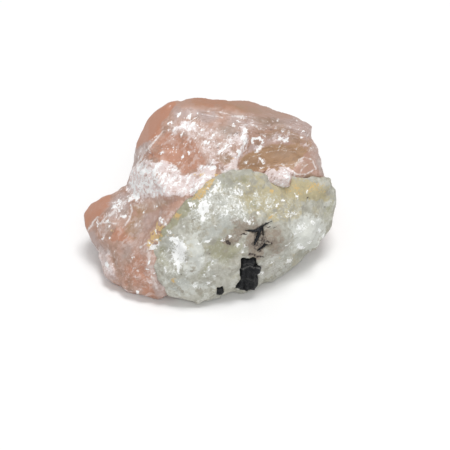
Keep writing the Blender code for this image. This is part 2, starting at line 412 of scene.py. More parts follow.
def chipped(place, size):
    # the height of flat chips, each tilted its own way
    cell = cells(place, size)
    offset = place.scaled(1 / size).vector("SUBTRACT", cell.beside("Position"))
    return cell.vector("SUBTRACT", (0.5, 0.5, 0.5)).vector("DOT_PRODUCT", offset, output="Value")


def darts(place, angle, size, density, length=0.35):
    # bright slivers along that angle, one in each cell of a share as large as the density
    cell = cells(drawn(place, angle, length), size)
    radius = (lots(cell) + density * 2 - 1) * 0.6
    return (radius - cell.beside("Distance")).step(-0.04, 0.08)


def dots(place, size, radius, share):
    # small dots in that share of the cells
    cell = cells(place, size)
    return (radius / size - cell.beside("Distance")).step(-0.04, 0.04) * lots(cell).step(share, share + 0.1)


print("tools ready")


# morganite
# outlines that several of its masks share
leftFacet = [(174.5, 95), (176.5, 105), (172, 114), (165, 121), (161, 128), (160, 134), (157, 138),
             (152, 141), (145, 143), (136, 150.5), (128, 140), (140, 120), (150, 110), (163, 98)]
leftStrip = [(136, 150.5), (145, 143), (152, 141), (150, 146), (143, 158), (133, 172), (126, 170)]
lobeTip = [(78, 213), (85, 206), (95.8, 199), (110, 194), (112, 205), (104.9, 213), (99, 217.3),
           (90.8, 228), (86, 235), (78, 225)]
underLedge = [(129, 207), (135, 204), (151, 199), (165, 196), (186, 196.5), (184, 204), (172, 212),
              (152, 216), (138, 217), (130, 214)]
window = [(243, 156), (250, 152), (262, 147), (280, 143), (297, 144), (308, 150), (300, 160), (294, 171),
          (262, 172), (236, 171)]
morganite = {
    "voxel": 0.27,           # mm, fineness of the skin
    "grow": 0.3,             # mm, closes the seam against the pale lump
    "swell": 0.5,            # mm, how far it swells along the seam
    "sink": 0.55,            # mm, how far its rounded corner sinks
    # broken facets: their size and height in mm, and the share of it that unfrosted breaks keep
    "facets": [(1.5, 0.26, 0.25), (0.75, 0.14, 0.2)],
    "grain": (1.2, 0.08),    # mm, size and height
    "ripple": 0.04,          # mm, height
    "roughness": 0.43,
    "frostRoughness": 0.22,  # added where it is frosted
    "ior": 1.57,
    "bump": 0.0004,          # m, height of the finest breaks
    # degrees in the front view, counted up from the right: the ways its textures run
    "angles": {"threads": 56, "layers": -8, "ripples": 16, "chips": 50, "slivers": 66},
    # each mask and how far the edges of its marks wander
    "masks": {"clear": 0.8, "layered": 2, "wavy": 1.5, "red": 2.6, "gold": 1.5, "umber": 2, "mauve": 1.5,
              "bare": 2, "grey": 2, "veil": 3, "frost": 1.6, "flecks": 3, "ochre": 1.4, "white": 1.9,
              "lines": 0.7, "dark": 1.2, "seam": 1, "low": 1},
    "clear": [               # smooth glassy breaks
        (zone, 1, leftFacet, 0.8),
        (zone, 1, [(173, 94), (176.5, 106.5), (195, 110.5), (207, 109), (223, 110), (232, 113), (245, 116),
            (256, 118), (275, 118), (290, 121), (298, 110), (266, 98), (236, 92), (212, 90)], 0.8),
        (zone, 1, [(243, 156), (250, 152), (262, 147), (280, 143), (297, 144), (308, 150), (311, 160),
            (315, 169), (303, 172), (262, 172), (236, 171)]),
        (zone, 1, lobeTip, 0.8),
        (zone, 0.9, underLedge),
        (zone, 0.8, [(96.6, 249.7), (110.7, 253), (115.7, 277), (104.9, 279), (94, 256)]),
        (zone, 0.8, [(87, 231), (94, 228), (97, 238), (92, 240)]),
        (patch, 0.8, 172, 157, 10, 9, 0, 0.5),
    ],
    "bare": [                # windows free of clouds and frost
        (zone, 0.3, [(165, 132), (175, 136), (186, 148), (203, 156), (206, 163), (197, 170), (186, 174),
            (180, 169), (172, 164), (158, 160), (155, 150)], 3),
        (patch, 0.85, 225, 159, 7, 5, -10, 0.6), (patch, 0.7, 236, 148, 3.5, 5, 0, 0.6),
        (patch, 0.5, 228, 132, 7, 4, 0, 0.6),
    ],
    "layered": [             # breaks that show the crystal's layers
        (zone, 1, [(195, 110), (243, 114), (300, 119), (316, 130), (318, 150), (300, 142), (270, 141),
            (250, 136), (226, 128), (205, 119)], 5),
    ],
    "wavy": [                # glass with drawn-out ripples
        (zone, 1, window, 2),
        (zone, 0.4, underLedge, 2),
    ],
    "red": [
        (zone, 0.95, leftFacet),
        (zone, 0.7, [(146, 160), (151, 149), (158, 140), (166, 131), (178, 131), (190, 137), (203, 150),
            (206, 164), (196, 172), (186, 176), (178, 168), (170, 163), (158, 160)], 3),
        (zone, 0.7, lobeTip, 2),
        (patch, 0.72, 222, 103, 52, 8, 8, 0.6), (patch, 0.88, 173, 157, 17, 12, 20, 0.5),
        (patch, 0.6, 157, 146, 11, 10, -50), (patch, 0.7, 192, 162, 9, 8), (patch, 0.5, 200, 148, 8, 7),
        (patch, 0.6, 176, 140, 8, 4, -20), (patch, 1, 122, 236, 10, 7.5, 0, 0.4),
        (patch, 0.8, 138, 268, 15, 21, -20, 0.6), (patch, 1, 145, 272, 8, 16, -14, 0.7),
        (patch, 0.9, 131, 280, 6, 7, 0, 0.9), (patch, 1, 149, 291, 6, 6, 0, 0.9),
        (patch, 0.4, 178, 203, 8, 5, -20), (patch, 0.5, 103, 219, 4, 4, 0, 0.6),
        (patch, 0.6, 267, 157, 3, 2),
    ],
    "gold": [
        (zone, 1, window, 2.5),
        (zone, 0.6, [(131, 207), (137, 203), (151, 200), (165, 197), (174, 197), (172, 204), (160, 210),
            (150, 215), (138, 216)], 3),
        (zone, 0.55, [(248, 124), (262, 120), (284, 122), (292, 128), (312, 140), (316, 156), (303, 150),
            (290, 143), (270, 141), (258, 138)], 4),
        (patch, 0.7, 225, 160, 8, 6, 0, 0.6), (patch, 0.5, 250, 110, 36, 5, 12, 0.6),
        (patch, 0.4, 196, 104, 16, 4, 0, 0.6), (patch, 0.8, 311, 177, 8, 4, 20, 0.6),
        (patch, 0.8, 136, 228, 10, 15, 20, 0.7), (patch, 0.4, 250, 128, 26, 3, 6),
        (patch, 0.5, 306, 165, 9, 6, -30, 0.6),
    ],
    "umber": [
        (patch, 0.9, 267, 121.5, 17, 2.8, 6, 0.7), (patch, 0.38, 236, 105, 62, 9, 10, 0.6),
        (patch, 0.45, 250, 162, 12, 3, -14), (patch, 0.8, 225, 157, 7, 5.5, -20, 0.7),
        (patch, 0.5, 254, 166, 14, 3, -4), (patch, 0.5, 283, 153, 13, 4, -6),
        (patch, 0.6, 256.5, 143, 2, 2), (patch, 0.7, 281, 180, 3.5, 3),
        (patch, 0.6, 308, 176.5, 6, 2.6, 15, 0.7), (patch, 0.45, 116, 262, 3, 12, -12),
        (patch, 0.5, 131, 283, 2.5, 6, 10), (patch, 0.3, 126, 213, 5, 3), (patch, 0.4, 214, 145, 5, 3, -30),
        (patch, 0.4, 299, 141, 7, 2, 20),
    ],
    "mauve": [
        (zone, 0.8, leftStrip),
        (zone, 0.9, [(175, 107), (195, 111), (214, 112), (218, 119), (204, 124), (194, 118), (184, 118),
            (172, 124)], 3),
        (zone, 0.8, [(232, 114), (262, 118), (282, 119), (300, 116), (316, 128), (314, 140), (300, 134),
            (282, 127), (262, 128), (240, 130), (226, 124)], 4),
        (zone, 1, [(245, 154), (249, 145), (258, 146), (264, 145), (256, 150)]),
        (zone, 0.95, [(109, 204), (118, 196), (130, 192), (130, 205), (127, 216), (112, 219),
            (107, 216)], 3),
        (zone, 0.95, [(86, 234), (96, 229), (98, 240), (109, 251), (116, 280), (104, 280), (94, 256)], 2),
        (patch, 0.4, 264, 112, 30, 6, 18, 0.6), (patch, 0.7, 145, 224, 15, 8, -40, 0.7),
        (patch, 0.9, 159, 287, 5, 9, -24, 0.7), (patch, 0.9, 306, 131, 9, 6, 40, 0.7),
        (patch, 0.5, 278, 138, 17, 6, -8, 0.7), (patch, 0.8, 320, 163, 5, 16, -24, 0.7),
        (patch, 0.5, 128, 250, 8, 5, -40, 0.7),
    ],
    "grey": [
        (patch, 0.7, 229, 133, 12, 7, 15, 0.7), (patch, 0.6, 171, 174, 3.5, 3),
        (patch, 0.6, 321, 168, 3, 10, -24), (patch, 0.5, 124, 212, 6, 6), (patch, 0.5, 109, 228, 4, 7, 20),
        (patch, 0.5, 128, 257, 5, 8, 20), (patch, 0.5, 275, 178, 1.6, 4),
    ],
    "veil": [                # pale feathery clouds inside the stone; under the ledge they also lighten its shade, as painted light
        (zone, 0.3, [(146, 144), (160, 136), (172, 120), (200, 122), (222, 128), (240, 134), (242, 150),
            (226, 172), (208, 166), (196, 172), (184, 176), (170, 163), (146, 161)], 4),
        (zone, 0.7, [(168, 132), (176, 118), (200, 122), (222, 128), (240, 134), (242, 150), (226, 168),
            (212, 164), (202, 150), (190, 138)], 4),
        (zone, 0.25, [(196, 111), (243, 116), (300, 120), (316, 131), (316, 150), (300, 142), (270, 141),
            (250, 137), (226, 128)], 4),
        (zone, 0.5, [(110, 204), (130, 195), (140, 200), (130, 206), (128, 220), (108, 236), (98, 234),
            (101, 224)], 4),
        (zone, 0.5, leftStrip),
        # the second patch, under the ledge, is partly painted light: it lightens the shade that the ledge
        # casts
        (patch, 0.6, 210, 150, 12, 18, 10, 0.6), (patch, 0.65, 156, 202, 24, 7, -8, 0.6),
        (patch, 0.3, 142, 224, 18, 9, -40, 0.6), (patch, 0.4, 165, 212, 9, 4, -42, 0.7),
        (patch, 0.42, 140, 264, 22, 30, -20, 0.6), (patch, 0.9, 104, 262, 10, 17, -24, 0.5),
        (patch, 0.5, 302, 163, 8, 6, 0, 0.6), (patch, 0.5, 318, 158, 6, 16, -24, 0.7),
    ],
    "frost": [
        (zone, 0.95, [(127, 186), (131, 172), (136, 165), (146, 160.5), (153, 161), (155, 164), (159, 163),
            (163, 160), (170, 162), (177, 168), (182, 175), (188, 176), (195, 172), (198, 166), (207, 163),
            (217, 168), (215, 177), (206, 185), (195, 196.5), (178, 195.8), (163, 195.8), (151, 197.5),
            (143, 199), (134, 201), (127, 193)], 1),
        (zone, 0.5, [(170, 133), (180, 126), (200, 126), (214, 128), (210, 136), (222, 146), (236, 128),
            (248, 130), (246, 148), (236, 160), (222, 172), (210, 164), (204, 150), (196, 138),
            (180, 131)], 4),
        (zone, 1, [(166, 131), (176, 126), (183, 121), (191, 122), (195, 128), (197, 132), (180, 129)], 1),
        (zone, 0.8, [(239, 126), (246, 127), (249, 138), (246, 150), (238, 160), (236, 169), (222, 174),
            (217, 169), (229, 163), (238, 152), (242, 140)], 1.2),
        (zone, 0.7, [(128, 194), (140, 196), (150, 198), (140, 204), (131, 207)], 2),
        (zone, 0.5, [(92, 244), (98, 246), (110.7, 253), (115.7, 277), (104.9, 279), (94, 256)], 2),
        (zone, 0.2, [(240, 120), (262, 122), (300, 124), (312, 134), (316, 150), (306, 150), (290, 141),
            (262, 140), (240, 130)], 3),
        (patch, 0.32, 123, 204, 11, 7, -30, 0.7), (patch, 0.2, 102, 233, 7, 8, 0, 0.7),
        (patch, 0.3, 134, 284, 16, 12), (patch, 0.5, 257, 148, 6, 4, -30, 0.6),
        (patch, 0.7, 278, 137, 11, 5.5, -10, 0.6), (patch, 0.45, 193, 139, 6, 5, -20, 0.6),
        (patch, 0.4, 262, 135, 7, 4, 0, 0.6), (patch, 0.4, 260, 161, 6, 4, 0, 0.6),
        # the last patch on this line and the one below frost the knob fully: partly its own frost, partly
        # painted light over its shaded underside
        (patch, 0.5, 305, 146, 6, 4, 30, 0.6), (patch, 1, 271, 178, 7.5, 10, -10, 0.15),
        (patch, 0.95, 285, 177, 11, 10, 0, 0.15),
    ],
    "flecks": [              # where white slivers are thickest
        (zone, 0.42, [(172, 134), (186, 120), (214, 124), (240, 126), (247, 132), (248, 146), (240, 158),
            (224, 172), (212, 166), (203, 150), (196, 138)], 5),
        (zone, 0.1, [(240, 124), (262, 122), (300, 124), (312, 134), (316, 150), (306, 150), (290, 141),
            (262, 144), (250, 150)], 4),
        (patch, 0.4, 190, 117, 16, 7, 10, 0.6), (patch, 0.38, 174, 149, 24, 16, 0, 0.6),
        (patch, 0.1, 303, 166, 10, 8, 0, 0.5), (patch, 0.18, 118, 212, 20, 14, -30, 0.6),
        (patch, 0.15, 146, 226, 22, 20, -30, 0.6), (patch, 0.15, 134, 272, 24, 26, 0, 0.6),
        (patch, 0.3, 142, 158, 10, 14, 0, 0.6), (patch, 0.6, 166, 182, 40, 14, 0, 0.5),
    ],
    "ochre": [
        (zone, 0.8, [(202, 198), (197, 196), (203, 189), (211, 181), (216, 174), (219, 177), (210, 189)]),
        (patch, 0.8, 199.5, 175, 4.5, 1.5, -10, 0.6), (patch, 0.5, 233, 158, 1.5, 1.5, 0, 0.5),
        (patch, 0.5, 114.5, 230, 2, 1.5, 0, 0.5), (patch, 0.85, 157.5, 235.5, 4, 6, 15, 0.6),
        (patch, 0.85, 153, 245, 4, 4, 0, 0.6), (patch, 0.8, 161, 226, 1.8, 4, 20, 0.6),
    ],
    "white": [
        (zone, 0.56, [(168, 131), (179, 124), (189, 120), (196, 126), (190, 130), (178, 129)], 2),
        # this zone lies on the ledge's left end, which faces away from the light: its white is partly
        # painted light
        (zone, 0.5, [(130, 191), (134, 173), (142, 163), (156, 166), (158, 197), (136, 200)], 4),
        (vein, 0.95, [(252, 143.5), (251.8, 141), (254, 138.8), (258, 138.6), (261, 140.5),
            (261, 143)], 1.5),
        (patch, 0.8, 135.5, 197.5, 5.5, 4.5, 0, 0.6), (patch, 0.6, 157, 177, 9, 6, 0, 0.6),
        # these two patches on the ledge's left end are partly painted light as well, lightening that dim
        # side
        (patch, 0.6, 148, 190, 7, 4, -20, 0.6), (patch, 0.5, 141, 178, 8, 10, 20, 0.6),
        (patch, 0.5, 204, 181, 4.5, 7, 20, 0.6),
        (specks, 1, [
            (156, 238.5, 1.8, 0.8, -50), (158.5, 232, 1.4, 0.7, 60), (152, 243, 1.2, 0.8),
            (154, 246.5, 4, 2.2, -40), (160, 240.5, 2.4, 1.4, -30), (164, 220, 2.6, 1.8, 50),
            (153.6, 273.4, 2, 1.2, 30), (144, 171, 4, 2.4, -40), (141, 179, 3, 2), (135, 186, 3, 2, -60),
            (147, 183, 2.4, 1.6), (178.5, 115, 3, 1.1, -76), (188.5, 117, 3.8, 1.3, -64),
            (190, 114, 1.4, 0.8, 40), (193, 120, 2.5, 1, -40), (170, 124, 2.6, 1.3, -30),
            (203.5, 129.5, 4.4, 2.3, -35), (171, 135, 2, 1.2, -40), (181, 134, 1.8, 1, -50),
            (199, 137, 1.8, 1, -50), (209, 141, 5.2, 2.7, -35), (214, 136, 3, 1.2, -35),
            (232, 126, 3, 1.2, 8), (174, 148, 1.5, 0.9, -50), (162, 152, 2.2, 0.9, -60),
            (189, 153, 2.4, 1, -60), (183, 157, 1.4, 0.9, -60), (238, 122, 2.6, 1, 8),
            (246, 131, 2.6, 2, -50), (243.5, 139, 5.6, 2.2, 90), (265, 136, 3, 1.2),
            (257.5, 145.8, 2, 1.2, -20), (279, 137, 3, 1.8, -20), (285, 139, 2.6, 1.8),
            (280, 142, 1.8, 1.4), (227, 147, 6.4, 3, -30), (237.5, 153, 3.4, 2, 90),
            (221, 152, 2.8, 1.6, -40), (224, 158, 1.4, 1), (153, 176, 4.5, 4), (160, 177, 3, 2.4),
            (150, 190, 4.5, 2.2, -10), (166, 184, 3, 1.8), (202, 168, 4, 1.8, -60),
            (202, 184, 4.2, 2.8, 110), (136, 198, 3.6, 3.6), (132, 200, 3, 2, 20), (121.5, 218, 1.4, 1.1),
            (125, 217.3, 2.2, 1.4, -20), (143.4, 212, 1.2, 1.1), (156.7, 205.6, 1.5, 1.1),
            (149.8, 263, 1.1, 0.8), (148, 267, 1, 1), (134.5, 256.5, 1.6, 0.8, -55), (138.4, 291.7, 1.8, 1),
            (96.3, 249.7, 1.1, 1.1), (108.4, 264.3, 2.4, 2.2), (98, 224.3, 1.4, 1.2),
            (109, 222.4, 1.8, 0.9), (115, 207, 2.4, 2, -50), (121, 203, 2.6, 1.8, -30),
            (111, 226, 1.2, 0.9), (104, 238, 1.4, 1.1, -60), (111.5, 237.5, 1.2, 0.8, -50),
            (119, 211, 1.6, 1), (141, 186, 3, 1.6, -30), (176, 185, 3.4, 1.6, -30),
            (186, 184, 2.4, 1.4, -50), (192, 190, 3, 1.6, -30), (172, 166, 1.6, 0.9, -50),
            (213, 169, 3, 1.8, -40)]),
        (specks, 0.6, [
            (277, 121, 1.6, 1), (290, 127, 1.8, 1), (283, 127, 2.2, 0.8), (302, 136, 1.6, 1.2),
            (313, 148, 2.4, 1.8), (246, 162, 1.6, 0.9, -40), (260, 160, 2.2, 1.4, 20), (263, 163, 1.8, 1),
            (260, 168, 1.6, 1.1), (286, 163.5, 1.6, 0.9), (297, 149, 1.8, 0.9), (281, 147, 2, 0.7),
            (288, 148, 2, 0.7), (263, 134, 2.4, 1), (256, 150, 3, 1.4, -40), (300, 130, 5, 1, 12),
            (262, 128, 6, 0.8, 4), (296, 122, 5, 1.2, 12), (284, 131, 5, 0.7, 6), (244, 119, 5, 0.8, 6)]),
    ],
    "lines": [               # thin pale edges
        (vein, 0.8, [(232, 117), (238, 116.5), (245, 117.5)], 0.8, 0.8),
        (vein, 0.8, [(241, 125), (249, 125.5), (257, 127)], 0.7, 0.8),
        (vein, 0.8, [(133, 172), (143, 158), (151, 146), (159, 137), (163, 131)], 0.8),
        (vein, 0.8, [(87.5, 233), (92, 226), (96.6, 219), (99, 217)], 0.8),
        (vein, 0.8, [(98.2, 219.8), (100.7, 224), (104, 221), (108.2, 216.5), (114.8, 213)], 0.7),
        (vein, 0.8, [(102, 223), (109, 222), (116, 224)], 0.7),
        (vein, 0.8, [(141, 247), (145, 245), (148.5, 242.6)], 1),
        (vein, 0.8, [(112, 214), (120, 206), (130, 199)], 0.8),
        (vein, 0.8, [(126, 226), (130, 219), (133, 211), (131, 205)], 0.8),
        (vein, 0.8, [(291.4, 172), (298, 173), (304, 172.6), (310, 171)], 0.8, 0.8),
        (vein, 0.8, [(295, 166), (299, 160), (304, 157), (311, 160), (315, 169), (310, 171)], 0.6, 0.8),
        (vein, 0.8, [(281, 164), (287, 169), (291.4, 172)], 0.6, 0.8),
        (vein, 0.7, [(294, 169), (298, 163), (303, 160)], 0.6, 0.8),
        (vein, 0.7, [(299, 171), (304, 166), (311, 162)], 0.6, 0.8),
        (vein, 0.5, [(240, 165), (250, 158), (262, 153), (280, 150), (296, 152)], 0.5, 0.8),
        (vein, 0.5, [(258, 170), (270, 166), (281, 164), (292, 165)], 0.5, 0.8),
        (vein, 0.45, [(262, 146), (276, 147), (290, 150)], 0.5, 0.8),
        (vein, 0.5, [(238, 172), (246, 166), (256, 163)], 0.5, 0.8),
        (vein, 0.5, [(206, 112), (222, 113), (238, 117), (252, 121)], 0.6, 0.8),
        (vein, 0.5, [(210, 116), (226, 119), (242, 123), (256, 124)], 0.6, 0.8),
        (vein, 0.5, [(268, 126), (284, 129), (300, 134), (314, 138)], 0.6, 0.8),
        (vein, 0.8, [(222, 172), (228, 171), (236, 169.5)], 1.6),
        (vein, 0.5, [(194, 197), (184, 205), (173, 214), (164, 222)], 2, 2),
        (vein, 0.45, [(148, 248), (150, 262), (153, 276), (159, 290)], 1.5, 2),
        (vein, 0.8, [(135, 168), (146, 161), (153, 161.4), (155.5, 164), (160, 162.6), (163, 160.6),
            (170, 162.6), (177, 168.4), (182, 175)], 0.7),
    ],
    "dark": [
        (specks, 0.7, [
            (165, 178, 1.4, 1), (147, 174, 1.2, 0.9), (195, 186, 1.6, 1), (228, 137, 2.4, 0.8, -20),
            (236, 133, 2, 0.7, 10), (138.5, 204, 1.2, 0.8, 60), (152, 183, 1.2, 0.7),
            (178, 179, 1.4, 0.7, -40), (187, 190, 1.4, 0.7, 20), (206, 132, 1.4, 0.6, -60),
            (193, 144, 1.2, 0.6, -60), (218, 148, 1.6, 0.7, -30), (232, 143, 2, 0.7, -30),
            (248, 134, 1.2, 0.8), (270, 129, 3, 0.6, 8), (229, 131, 4, 1, -10), (222, 136, 3, 1, -30),
            (217, 153, 2.4, 1.2, -30), (232, 157, 3, 1.4, -20), (225, 163, 2, 1), (241, 146, 1.6, 1, 60),
            (200, 127, 2, 0.7, -40), (213, 133, 2, 0.8, -40), (237, 139, 2.4, 0.8, -20),
            (222, 126, 3, 0.7, 10), (234, 124, 3, 0.7, 10), (240, 119, 3, 0.6, 8)]),
    ],
    "seam": [                # where the stone swells to meet the pale lump, and where its paint is paler against the crease's shade: partly painted light
        (vein, 1, [(198, 195), (184, 206), (172, 216), (163, 224), (155, 234), (149, 246), (152, 262),
            (155, 276), (161, 291)], 3, 9),
        (vein, 0.8, [(236, 172), (262, 172)], 2, 5),
        (vein, 0.8, [(292, 174), (318, 176)], 2, 5),
    ],
    "low": [                 # corners that the real stone has rounded off
        (patch, 1, 177, 99, 6, 5, 0, 0.9),
    ],
    "colours": {
        "base": seen(199, 161, 144),
        "deep": seen(184, 145, 126),
        "red": seen(194, 139, 113),
        "gold": seen(177, 140, 106),
        "umber": seen(148, 119, 96),
        "mauve": seen(190, 172, 168),
        "grey": seen(172, 164, 156),
        "veil": seen(224, 204, 197),
        "frost": seen(242, 227, 225),
        "white": (0.97, 0.98, 0.98),
        "ochre": seen(226, 192, 134),
        "dark": seen(140, 116, 104),
    },
}


def buildMorganite():
    piece, points, normals = startSkin("morganite", "morganiteSkin", morganite["voxel"])
    masks, facing = drawMasks(points, normals, morganite, 1)
    front = smoothStep(0.02, 0.3, facing)
    # the sides and the back carry the same finishes, laid out by slow noise
    away = 1 - smoothStep(0.0, 0.3, facing)
    slow = noiseAt(points, 7, 4, 3)
    drift = [noiseAt(points, 8, 3, seed) for seed in (5, 6, 7, 8)]
    behind = {
        "clear": smoothStep(0.1, -0.3, slow) * 0.9,
        "frost": smoothStep(-0.05, 0.5, slow) * 0.75,
        "veil": smoothStep(-0.4, 0.4, slow) * 0.6,
        "flecks": smoothStep(-0.3, 0.5, slow) * 0.4,
        "red": smoothStep(0.0, 0.6, drift[0]) * 0.8,
        "gold": smoothStep(0.1, 0.7, drift[1]) * 0.8,
        "mauve": smoothStep(0.0, 0.6, drift[2]) * 0.8,
        "layered": smoothStep(0.1, 0.4, drift[3]),
        "wavy": smoothStep(0.1, 0.5, -drift[3]) * smoothStep(0.1, -0.3, slow),
    }
    sunk = morganite["sink"] * masks["low"]
    # windows stay free of clouds and frost
    for maskName in ("veil", "frost", "flecks", "mauve"):
        masks[maskName] = masks[maskName] * (1 - masks["bare"])
    for maskName in masks:
        masks[maskName] = np.clip(masks[maskName] * front + behind.get(maskName, 0) * away, 0, 1)
    writeMasks(piece, masks)
    rough = 1 - masks["clear"]
    relief = morganite["grow"] + morganite["swell"] * masks["seam"] - sunk
    for seed, (size, height, least) in enumerate(morganite["facets"], 1):
        share = least + (1 - least) * masks["frost"]
        relief = relief + share * rough * height * flakesAt(points, size, seed)
    size, height = morganite["grain"]
    relief = relief + rough * height * noiseAt(points, size, 4, 4)
    ripples = np.sin(points[:, 2] * 3.1 + 3 * noiseAt(points, 5, 2, 8))
    relief = relief + masks["wavy"] * morganite["ripple"] * ripples
    pushOut(piece, points, normals, relief)
    finishPiece(piece, "morganite", morganiteMaterial())


def finishPiece(piece, nodeName, material):
    choose(piece)
    bpy.ops.object.shade_smooth_by_angle(angle=math.radians(shared["smooth"]))
    piece.data.materials.clear()
    piece.data.materials.append(material)
    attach(piece, "root")
    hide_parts(nodeName)
    print(piece.name, len(piece.data.polygons), "faces")


def morganiteMaterial():
    material, wire = newMaterial("cloudyMorganite")
    colours = morganite["colours"]
    angles = morganite["angles"]
    masks = {name: attribute(wire, name) for name in morganite["masks"]}
    place = objectPlace(wire)
    swirled = place.vector("ADD", swirl(place, 2.5, 1.2))
    crumpled = place.vector("ADD", swirl(place, 0.9, 0.5))
    cloudy = 1 - masks["clear"]
    # fine threads along the way the crystal grew, or along its layers
    rays = uneven(drawn(swirled, angles["threads"], 0.16), 0.28, 3, 0.65)
    layers = uneven(drawn(place, angles["layers"], 0.1), 0.28, 3, 0.65)
    ripples = uneven(drawn(swirled, angles["ripples"], 0.14), 0.4, 3, 0.6)
    threads = rays + masks["layered"] * (layers - rays)
    threads = threads + masks["wavy"] * (ripples - threads)
    slow = uneven(place, 5, 2)
    patchy = uneven(place, 1.8, 5, 0.7)
    mid = uneven(place, 0.8, 4, 0.65)
    fine = uneven(place, 0.22, 2, 0.7)
    fleck = lots(cells(drawn(crumpled, angles["threads"], 0.4), 0.4))
    chips = 0.6 * lots(cells(drawn(crumpled, angles["chips"], 0.6), 1.5)) + 0.6 * lots(cells(crumpled, 0.7))
    chips = chips * (1 - 0.7 * masks["layered"])
    # the body of the stone
    body = 0.35 * patchy + 0.3 * threads * cloudy
    shade = 0.9 * threads - 0.3 * patchy
    tone = blend((slow * 0.4 + patchy * 0.5 * cloudy + 0.5).step(0, 1), colours["base"], colours["deep"])
    tone = paint(tone, colours,
                 (spread(masks["red"], body), "red"),
                 (spread(masks["gold"], body), "gold"),
                 (masks["mauve"] * (0.75 + 0.5 * threads + 0.25 * patchy), "mauve"),
                 (masks["grey"] * (0.8 + 0.5 * threads + 0.4 * mid), "grey"),
                 (masks["umber"] * (0.9 + 0.5 * shade), "umber"),
                 (masks["wavy"] * (0 - shade).step(0, 0.9) * 0.75, "umber"),
                 (masks["layered"] * (0 - layers).step(0, 0.9) * 0.5, "umber"),
                 (chips.step(0, 1.2) * cloudy * 0.45, "veil"),
                 ((0 - chips).step(0.1, 1.2) * cloudy * 0.3, "umber"),
                 ((0 - shade - 0.4 * chips).step(0.2, 1.1) * cloudy * 0.45, "dark"))
    # pale clouds and threads inside it; under the ledge and along the seam they are also painted light that
    # lightens shade
    cloud = masks["veil"] * 1.1 + masks["seam"] * 0.25 - 0.55 + 0.35 * patchy + 0.3 * threads + 0.15 * mid
    strands = (threads + 0.3 * chips * cloudy).step(0.2, 0.95)
    tone = paint(tone, colours,
                 (cloud.step(-0.25, 0.6) * 0.75, "veil"),
                 (strands * (0.06 + 0.5 * cloudy + 0.4 * masks["wavy"]), "veil"),
                 (layers.step(0.35, 0.9) * masks["layered"] * 0.6, "frost"))
    # frosted breaks, and the white grains and slivers on them
    broken = 0.4 * threads * (1 - 0.7 * masks["frost"])
    broken = broken + 0.35 * mid + 0.35 * patchy + 0.4 * chips + 0.25 * fleck + 0.3 * fine
    crust = masks["frost"] * 1.8 - 0.95 + broken * 1.1
    frosted = masks["frost"].step(0, 0.15)
    haze = crust.step(-0.35, 0.6) * frosted
    slivers = darts(crumpled, angles["threads"], 0.42, masks["flecks"] * 0.8)
    longer = masks["flecks"] * (0.7 - 0.7 * masks["layered"])
    slivers = slivers.most(darts(crumpled, angles["slivers"], 0.9, longer))
    slivers = slivers * (0.6 * mid + 0.3 * fine).step(-0.5, 0.2)
    sparks = (threads + 0.5 * fleck + 0.4 * patchy).step(0.75, 1.05) * masks["flecks"].step(0, 0.3)
    lines = (0.1 - threads.apart()).step(-0.06, 0.08) * patchy.step(-0.2, 0.6)
    lines = lines * masks["veil"].step(0.1, 0.6)
    veins = (masks["lines"] * 1.3 - 0.75 + 0.4 * mid + 0.25 * fleck).step(-0.5, 0.55)
    veins = veins * masks["lines"].step(0, 0.3)
    bright = spread(masks["white"], 0.5 * mid + 0.35 * fleck).most(veins * 0.55)
    bright = bright.most((crust + 0.3 * fleck).step(0.95, 1.45) * frosted)
    tone = paint(tone, colours,
                 (haze * 0.9, "frost"),
                 (spread(masks["ochre"], 0.8 * mid + 0.6 * fleck), "ochre"),
                 (spread(masks["dark"], 0.3 * mid), "dark"),
                 (slivers.most(sparks) * 0.9, "white"),
                 (lines * 0.6, "white"),
                 (bright, "white"))
    height = chipped(place, 0.6) * cloudy * (0.3 + masks["frost"]) + 0.12 * fine * cloudy + 0.06 * threads
    roughness = morganite["roughness"] + morganite["frostRoughness"] * haze
    finishMaterial(wire, {"Base Color": tone, "Roughness": roughness, "IOR": morganite["ior"],
                          "Normal": bumped(wire, height, morganite["bump"])})
    return material


buildMorganite()


